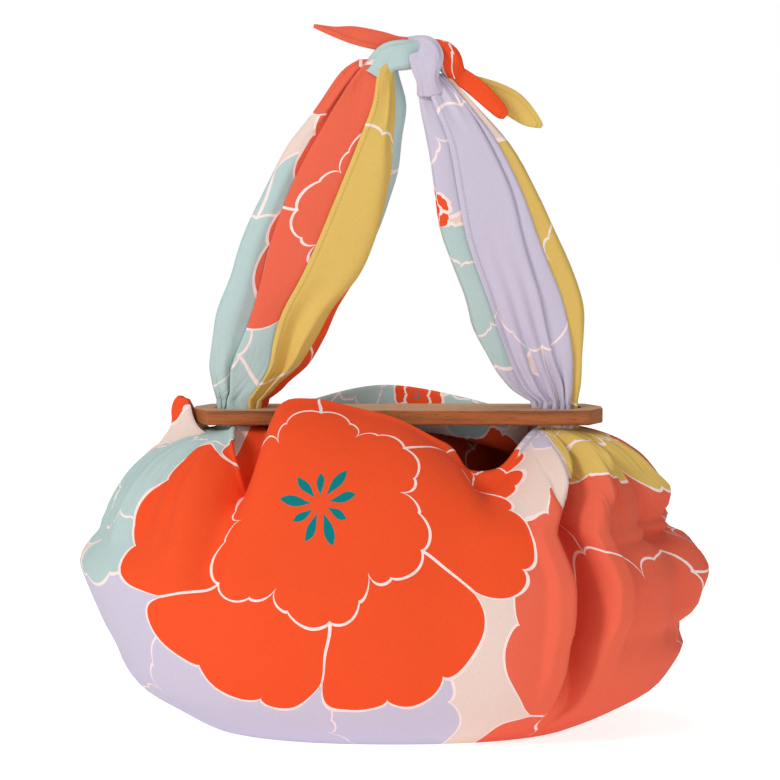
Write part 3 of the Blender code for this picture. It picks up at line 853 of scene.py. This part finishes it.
def printAttributes(mesh, middle):
    girth = bag["girth"]
    for layer, flowers in printLayers.items():
        value = np.full((len(middle), 4, 3), farAway)
        shade = np.ones((len(middle), 4, 4))
        best = np.full(len(middle), np.inf)
        for x, y, size, turn, colour in flowers:
            off = middle - np.array([x, y])
            across = off[..., 0].mean(axis=1, keepdims=True)
            off[..., 0] += (across + girth / 2) % girth - girth / 2 - across
            far = np.linalg.norm(off.mean(axis=1), axis=1) / size
            nearer = far < best
            angle = math.radians(turn)
            local = np.stack([off[..., 0] * math.cos(angle) + off[..., 1] * math.sin(angle),
                              off[..., 1] * math.cos(angle) - off[..., 0] * math.sin(angle),
                              np.full(off.shape[:2], size)], axis=-1)
            value[nearer] = local[nearer]
            shade[nearer] = np.array(colours[colour])
            best[nearer] = far[nearer]
        place = mesh.attributes.new(layer + "Place", "FLOAT_VECTOR", "CORNER")
        place.data.foreach_set("vector", value.reshape(-1))
        tint = mesh.attributes.new(layer + "Colour", "FLOAT_COLOR", "CORNER")
        tint.data.foreach_set("color", shade.reshape(-1))


def joinCloth():
    vertices = []
    faces = []
    place = []
    hem = []
    gather = []
    start = 0
    for grid in clothGrids:
        rows, columns = grid["points"].shape[:2]
        index = start + np.arange(rows * columns).reshape(rows, columns)
        following = np.roll(index, -1, axis=1) if grid["closed"] else index[:, 1:]
        here = index if grid["closed"] else index[:, :-1]
        quads = np.stack([here[:-1], following[:-1], following[1:], here[1:]], axis=-1)
        faces.append(quads.reshape(-1, 4))
        vertices.append(grid["points"].reshape(-1, 3))
        place.append(grid["place"].reshape(-1, 2))
        hem.append(grid["hem"].reshape(-1, 2))
        gather.append(grid["gather"].reshape(-1))
        start += rows * columns
        if grid["fan"]:
            half = columns // 2
            ring = index[0]
            low = ring[:half]
            high = ring[half:][::-1]
            faces.append(np.stack([low[:-1], high[:-1], high[1:], low[1:]], axis=-1))
    vertices = np.concatenate(vertices)
    faces = np.concatenate(faces)
    place = np.concatenate(place)
    mesh = bpy.data.meshes.new("cloth")
    mesh.from_pydata(vertices.tolist(), [], faces.tolist())
    hem = np.concatenate(hem)
    edge = np.concatenate([hem, np.zeros((len(hem), 1))], axis=1)
    hemPlace = mesh.attributes.new("hemPlace", "FLOAT_VECTOR", "POINT")
    hemPlace.data.foreach_set("vector", edge.reshape(-1))
    gathered = mesh.attributes.new("gather", "FLOAT", "POINT")
    gathered.data.foreach_set("value", np.concatenate(gather))
    cornerPlace = place[faces]
    step = cornerPlace - cornerPlace[:, :1]
    # a face across a jump of the flat place keeps to one side of it
    step[..., 0][np.abs(step[..., 0]) > cloth["widestStep"]] = cloth["narrowStep"]
    cornerPlace = cornerPlace[:, :1] + step
    flat = mesh.uv_layers.new(name="flatCloth")
    flat.data.foreach_set("uv", cornerPlace.reshape(-1))
    printAttributes(mesh, cornerPlace)
    mesh.polygons.foreach_set("use_smooth", np.ones(len(faces), bool))
    piece = newObject("wrappingCloth", mesh)
    shell = piece.modifiers.new("thickness", "SOLIDIFY")
    shell.thickness = cloth["thickness"]
    shell.offset = 0
    shell.use_even_offset = False
    shell.use_rim = True
    shell.material_offset = 1
    print("cloth joined: %d faces" % len(faces))
    return piece


wrappingCloth = joinCloth()


class Nodes:
    def __init__(self, tree):
        self.tree = tree

    def add(self, kind, **settings):
        node = self.tree.nodes.new(kind)
        for key, value in settings.items():
            setattr(node, key, value)
        return node

    def link(self, source, target):
        if isinstance(source, (int, float, tuple)):
            target.default_value = source
        else:
            self.tree.links.new(source, target)

    def math(self, operation, first, second=0.0):
        node = self.add("ShaderNodeMath", operation=operation)
        for socket, value in zip(node.inputs, (first, second)):
            self.link(value, socket)
        return node.outputs[0]

    def plus(self, first, second):
        return self.math("ADD", first, second)

    def minus(self, first, second):
        return self.math("SUBTRACT", first, second)

    def times(self, first, second):
        return self.math("MULTIPLY", first, second)

    def mix(self, amount, first, second):
        node = self.add("ShaderNodeMix", data_type="RGBA")
        self.link(amount, node.inputs[0])
        self.link(first, node.inputs[6])
        self.link(second, node.inputs[7])
        return node.outputs[2]

    def split(self, vector):
        node = self.add("ShaderNodeSeparateXYZ")
        self.link(vector, node.inputs[0])
        return node.outputs

    def noise(self, vector, scale, detail=2.0, roughness=0.5):
        node = self.add("ShaderNodeTexNoise")
        self.link(vector, node.inputs["Vector"])
        node.inputs["Scale"].default_value = scale
        node.inputs["Detail"].default_value = detail
        node.inputs["Roughness"].default_value = roughness
        return node.outputs["Fac"]

    def spread(self, value, low, high, newLow=0.0, newHigh=1.0):
        node = self.add("ShaderNodeMapRange", interpolation_type="SMOOTHSTEP")
        for socket, amount in zip(node.inputs, (value, low, high, newLow, newHigh)):
            self.link(amount, socket)
        return node.outputs[0]

    def bump(self, height, strength, distance, shader):
        node = self.add("ShaderNodeBump")
        node.inputs["Strength"].default_value = strength
        node.inputs["Distance"].default_value = distance
        self.link(height, node.inputs["Height"])
        self.link(node.outputs[0], shader.inputs["Normal"])

    def scaled(self, vector, scale):
        node = self.add("ShaderNodeMapping")
        self.link(vector, node.inputs["Vector"])
        node.inputs["Scale"].default_value = scale
        return node.outputs[0]


def newGroup(name, inputs, outputs):
    tree = bpy.data.node_groups.new(name, "ShaderNodeTree")
    for label, kind, value in inputs:
        socket = tree.interface.new_socket(name=label, in_out="INPUT", socket_type=kind)
        if value is not None:
            socket.default_value = value
    for label, kind in outputs:
        tree.interface.new_socket(name=label, in_out="OUTPUT", socket_type=kind)
    source = tree.nodes.new("NodeGroupInput")
    result = tree.nodes.new("NodeGroupOutput")
    return tree, source.outputs, result.inputs


def placeGroup(nodes, group, **values):
    node = nodes.add("ShaderNodeGroup")
    node.node_tree = group
    for key, value in values.items():
        nodes.link(value, node.inputs[key])
    return node.outputs


# One round-petalled flower: scalloped edge, lines between the petals, an inner
# ring and slim drops at its heart.
def flowerGroup():
    tree, given, result = newGroup(
        "roundFlower",
        (("Place", "NodeSocketVector", None), ("Petals", "NodeSocketFloat", 6.0),
         ("Line Width", "NodeSocketFloat", 0.0011), ("Wander", "NodeSocketFloat", 0.0)),
        (("Inside", "NodeSocketFloat"), ("Line", "NodeSocketFloat"), ("Stamen", "NodeSocketFloat")))
    nodes = Nodes(tree)
    x, y, size = nodes.split(given["Place"])
    reach = nodes.math("SQRT", nodes.plus(nodes.times(x, x), nodes.times(y, y)))
    share = nodes.math("DIVIDE", reach, size)
    angle = nodes.plus(nodes.math("ARCTAN2", y, x), nodes.times(share, 0.30))
    angle = nodes.plus(angle, nodes.times(given["Wander"], 0.35))
    half = nodes.times(nodes.times(angle, given["Petals"]), 0.5)
    petal = nodes.math("ABSOLUTE", nodes.math("COSINE", half))
    bulge = nodes.math("POWER", petal, 0.42)
    lobes = nodes.math("ABSOLUTE", nodes.math("COSINE", nodes.times(half, 3.0)))
    lobes = nodes.math("POWER", lobes, 0.6)
    edge = nodes.plus(nodes.times(bulge, 0.20), nodes.times(lobes, 0.055))
    edge = nodes.plus(nodes.plus(edge, 0.72), nodes.times(given["Wander"], 0.08))
    outer = nodes.times(nodes.minus(share, edge), size)
    inside = nodes.math("LESS_THAN", outer, 0.0)
    width = given["Line Width"]
    rim = nodes.math("LESS_THAN", nodes.math("ABSOLUTE", outer), width)
    innerPetal = nodes.math("POWER", nodes.math("ABSOLUTE", nodes.math("SINE", half)), 0.5)
    innerEdge = nodes.plus(nodes.times(innerPetal, 0.16), 0.34)
    innerEdge = nodes.plus(innerEdge, nodes.times(lobes, 0.03))
    ring = nodes.times(nodes.minus(share, innerEdge), size)
    ringLine = nodes.math("LESS_THAN", nodes.math("ABSOLUTE", ring), nodes.times(width, 0.9))
    ray = nodes.math("DIVIDE", nodes.times(nodes.times(reach, petal), 2.0), given["Petals"])
    rayLine = nodes.times(nodes.math("LESS_THAN", ray, width), nodes.math("GREATER_THAN", ring, 0.0))
    drawn = nodes.times(nodes.math("MAXIMUM", ringLine, rayLine), inside)
    turn = nodes.times(angle, 9 / (2 * math.pi))
    spoke = nodes.times(nodes.math("PINGPONG", turn, 0.5), 2.0)
    tip = nodes.plus(nodes.times(nodes.math("SINE", nodes.times(angle, 3.0)), 0.03), 0.13)
    along = nodes.math("DIVIDE", nodes.minus(share, 0.035), tip)
    drop = nodes.times(nodes.math("SINE", nodes.times(along, math.pi)), 0.55)
    spokes = nodes.math("LESS_THAN", spoke, drop)
    near = nodes.math("LESS_THAN", along, 1.0)
    nodes.link(inside, result["Inside"])
    nodes.link(nodes.math("MAXIMUM", rim, drawn), result["Line"])
    nodes.link(nodes.times(spokes, near), result["Stamen"])
    return tree


# Cotton lawn: fine threads, a soft rumple and the crimp of gathered cloth.
def cottonGroup():
    tree, given, result = newGroup(
        "cottonLawn",
        (("Vector", "NodeSocketVector", None), ("Gather", "NodeSocketFloat", 0.0)),
        (("Height", "NodeSocketFloat"), ("Tone", "NodeSocketFloat")))
    nodes = Nodes(tree)
    warp = nodes.noise(nodes.scaled(given["Vector"], (2600, 300, 1)), 1.0, 1.0)
    weft = nodes.noise(nodes.scaled(given["Vector"], (300, 2600, 1)), 1.0, 1.0)
    threads = nodes.times(nodes.plus(warp, weft), 0.00006)
    crimp = nodes.noise(nodes.scaled(given["Vector"], (150, 22, 1)), 1.0, 2.0)
    crimp = nodes.times(nodes.times(crimp, given["Gather"]), 0.0042)
    rumple = nodes.times(nodes.noise(nodes.scaled(given["Vector"], (26, 26, 1)), 1.0, 3.0), 0.0022)
    nodes.link(nodes.plus(nodes.plus(threads, crimp), rumple), result["Height"])
    tone = nodes.plus(nodes.times(warp, 0.5), nodes.times(weft, 0.5))
    nodes.link(nodes.spread(tone, 0.2, 0.8, 0.94, 1.06), result["Tone"])
    return tree


# Narrow machine hem: turned edge, its step and a row of stitches.
def hemGroup():
    tree, given, result = newGroup(
        "narrowHem",
        (("Place", "NodeSocketVector", None), ("Width", "NodeSocketFloat", 0.0045),
         ("Stitch", "NodeSocketFloat", 0.0024)),
        (("Height", "NodeSocketFloat"), ("Thread", "NodeSocketFloat")))
    nodes = Nodes(tree)
    off, along = nodes.split(given["Place"])[:2]
    fold = nodes.spread(nodes.minus(off, given["Width"]), -0.0004, 0.0004, 0.0006, 0.0)
    seam = nodes.math("ABSOLUTE", nodes.minus(nodes.minus(given["Width"], 0.0009), off))
    line = nodes.math("LESS_THAN", seam, 0.0003)
    dash = nodes.math("FRACT", nodes.math("DIVIDE", along, given["Stitch"]))
    dash = nodes.math("GREATER_THAN", dash, 0.3)
    nodes.link(fold, result["Height"])
    nodes.link(nodes.times(line, dash), result["Thread"])
    return tree


groups = {"flower": flowerGroup(), "cotton": cottonGroup(), "hem": hemGroup()}


def newMaterial(name):
    material = bpy.data.materials.new(name)
    material.use_nodes = True
    nodes = Nodes(material.node_tree)
    return material, nodes, material.node_tree.nodes["Principled BSDF"]


def attribute(nodes, name, output):
    node = nodes.add("ShaderNodeAttribute", attribute_name=name)
    return node.outputs[output]


cotton = {"roughness": 0.8, "sheen": 0.03, "sheenRoughness": 0.4, "specular": 0.06,
          "bump": 0.6, "faded": 0.30, "reverse": linear(196, 200, 196), "stitch": 0.3}


def printedCotton(name, faded):
    material, nodes, shader = newMaterial(name)
    flat = nodes.add("ShaderNodeUVMap", uv_map="flatCloth").outputs[0]
    wander = nodes.minus(nodes.noise(flat, 14.0, 1.0), 0.5)
    lineWidth = nodes.plus(nodes.times(nodes.noise(flat, 30.0, 0.0), 0.0010), 0.0006)
    colour = colours["ground"]
    for layer in printLayers:
        flower = placeGroup(nodes, groups["flower"], Place=attribute(nodes, layer + "Place", "Vector"),
                            Petals=float(petalCounts[layer]), Wander=wander)
        nodes.link(lineWidth, flower[0].node.inputs["Line Width"])
        colour = nodes.mix(flower["Inside"], colour, attribute(nodes, layer + "Colour", "Color"))
        if layer == "over":
            colour = nodes.mix(flower["Stamen"], colour, colours["teal"])
        colour = nodes.mix(flower["Line"], colour, colours["outline"])
    cloth = placeGroup(nodes, groups["cotton"], Vector=flat, Gather=attribute(nodes, "gather", "Fac"))
    hem = placeGroup(nodes, groups["hem"], Place=attribute(nodes, "hemPlace", "Vector"))
    colour = nodes.mix(faded, colour, cotton["reverse"])
    tone = nodes.add("ShaderNodeHueSaturation")
    nodes.link(colour, tone.inputs["Color"])
    nodes.link(cloth["Tone"], tone.inputs["Value"])
    thread = nodes.times(hem["Thread"], cotton["stitch"])
    colour = nodes.mix(thread, tone.outputs[0], colours["seam"])
    nodes.link(colour, shader.inputs["Base Color"])
    rough = cotton["roughness"]
    rough = nodes.spread(cloth["Tone"], 0.94, 1.06, rough + 0.05, rough - 0.05)
    nodes.link(rough, shader.inputs["Roughness"])
    shader.inputs["Sheen Weight"].default_value = cotton["sheen"]
    shader.inputs["Sheen Roughness"].default_value = cotton["sheenRoughness"]
    shader.inputs["Specular IOR Level"].default_value = cotton["specular"]
    nodes.bump(nodes.plus(cloth["Height"], hem["Height"]), cotton["bump"], 1.0, shader)
    return material


# top: a pale oak tone, used for the grain streaks and as painted top light on faces turned up
oak = {"front": linear(178, 92, 30), "dark": linear(124, 58, 16), "top": linear(220, 180, 142),
       "end": linear(166, 98, 56), "roughness": 0.5, "specular": 0.25, "bump": 0.5}


def oiledOak():
    material, nodes, shader = newMaterial("oiledOak")
    where = nodes.add("ShaderNodeTexCoord").outputs["Object"]
    figure = nodes.noise(nodes.scaled(where, (9, 70, 160)), 1.0, 4.0, 0.6)
    streak = nodes.noise(nodes.scaled(where, (30, 500, 900)), 1.0, 3.0, 0.6)
    pores = nodes.spread(nodes.noise(nodes.scaled(where, (90, 1500, 1900)), 1.0, 1.0), 0.60, 0.72)
    facing = nodes.split(nodes.add("ShaderNodeNewGeometry").outputs["Normal"])
    # painted top light: faces turned upward are mixed towards the pale top tone
    paintedTopLight = nodes.spread(facing[2], 0.5, 0.9)
    endward = nodes.spread(nodes.math("ABSOLUTE", facing[0]), 0.35, 0.8)
    colour = nodes.mix(nodes.spread(figure, 0.35, 0.7), oak["front"], oak["dark"])
    colour = nodes.mix(nodes.times(streak, 0.18), colour, oak["top"])
    colour = nodes.mix(nodes.times(paintedTopLight, 0.72), colour, oak["top"])
    colour = nodes.mix(nodes.times(endward, 0.6), colour, oak["end"])
    colour = nodes.mix(nodes.times(pores, 0.45), colour, oak["dark"])
    shader.inputs["Specular IOR Level"].default_value = oak["specular"]
    nodes.link(colour, shader.inputs["Base Color"])
    nodes.link(nodes.spread(streak, 0.2, 0.8, oak["roughness"] - 0.08, oak["roughness"] + 0.1),
               shader.inputs["Roughness"])
    nodes.bump(nodes.minus(nodes.times(streak, 0.3), pores), oak["bump"], 0.001, shader)
    return material


wrappingCloth.data.materials.append(printedCotton("printedCotton", 0.0))
wrappingCloth.data.materials.append(printedCotton("printedCottonReverse", cotton["faded"]))
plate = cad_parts["wooden_plate"]
for slot in plate.material_slots:
    slot.material = oiledOak()

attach(wrappingCloth, "root")
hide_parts("cloth")
print("cloth and plate finished")


view = {
    "lens": 128.2,
    "distance": 2.0,
    "elevation": 5.5,
    "target": (-0.0029, 0, 0.2416),
}

camera = newObject("camera", bpy.data.cameras.new("camera"))
camera.data.sensor_width = 36
camera.data.lens = view["lens"]
tilt = math.radians(view["elevation"])
camera.location = Vector(view["target"]) + Vector((0, -math.cos(tilt), math.sin(tilt))) * view["distance"]
camera.rotation_euler = (math.pi / 2 - tilt, 0, 0)
bpy.context.scene.camera = camera

studio = {
    "floorSize": 14,
    "floorTone": 0.80,
    "floorGlow": 0.76,
    "floorBounce": 0.42,
    "world": 0.30,
    "backdrop": 1.0,
    # name, place, aimed at, size, power, colour
    "lamps": (
        ("keyLight", (-1.5, -1.35, 1.5), (0, 0, 0.2), 0.8, 24, (1, 0.985, 0.96)),
        ("fillLight", (0.7, -2.3, 0.56), (0, 0, 0.2), 0.9, 8, (0.98, 0.99, 1)),
        ("topLight", (0.1, 0.3, 1.9), (0, 0, 0.2), 1.0, 7, (1, 1, 1)),
    ),
}


def studioLight():
    for name, place, aim, size, power, colour in studio["lamps"]:
        lamp = bpy.data.lights.new(name, "AREA")
        lamp.shape = "DISK"
        lamp.size = size
        lamp.energy = power
        lamp.color = colour
        item = newObject(name, lamp)
        item.location = place
        item.rotation_euler = (Vector(aim) - Vector(place)).to_track_quat("-Z", "Y").to_euler()
    world = bpy.data.worlds.new("studio")
    world.use_nodes = True
    nodes = Nodes(world.node_tree)
    background = world.node_tree.nodes["Background"]
    background.inputs["Color"].default_value = (1, 1, 1, 1)
    seen = nodes.add("ShaderNodeLightPath").outputs["Is Camera Ray"]
    strength = nodes.spread(seen, 0.0, 1.0, studio["world"], studio["backdrop"])
    nodes.link(strength, background.inputs["Strength"])
    bpy.context.scene.world = world
    bpy.context.scene.view_settings.view_transform = "Standard"


def studioFloor():
    half = studio["floorSize"] / 2
    mesh = bpy.data.meshes.new("floor")
    mesh.from_pydata([(-half, -half, 0), (half, -half, 0), (half, half, 0), (-half, half, 0)],
                     [], [(0, 1, 2, 3)])
    floor = newObject("floor", mesh)
    material, nodes, shader = newMaterial("paleFloor")
    tone = nodes.spread(nodes.noise(nodes.add("ShaderNodeTexCoord").outputs["Object"], 3.0), 0.3, 0.7,
                        studio["floorTone"] - 0.01, studio["floorTone"] + 0.01)
    nodes.link(tone, shader.inputs["Base Color"])
    shader.inputs["Roughness"].default_value = 0.9
    shader.inputs["Emission Color"].default_value = (1, 1, 1, 1)
    seen = nodes.add("ShaderNodeLightPath").outputs["Is Camera Ray"]
    nodes.link(nodes.spread(seen, 0.0, 1.0, studio["floorBounce"], studio["floorGlow"]),
               shader.inputs["Emission Strength"])
    mesh.materials.append(material)


studioLight()
studioFloor()
print("studio lit")
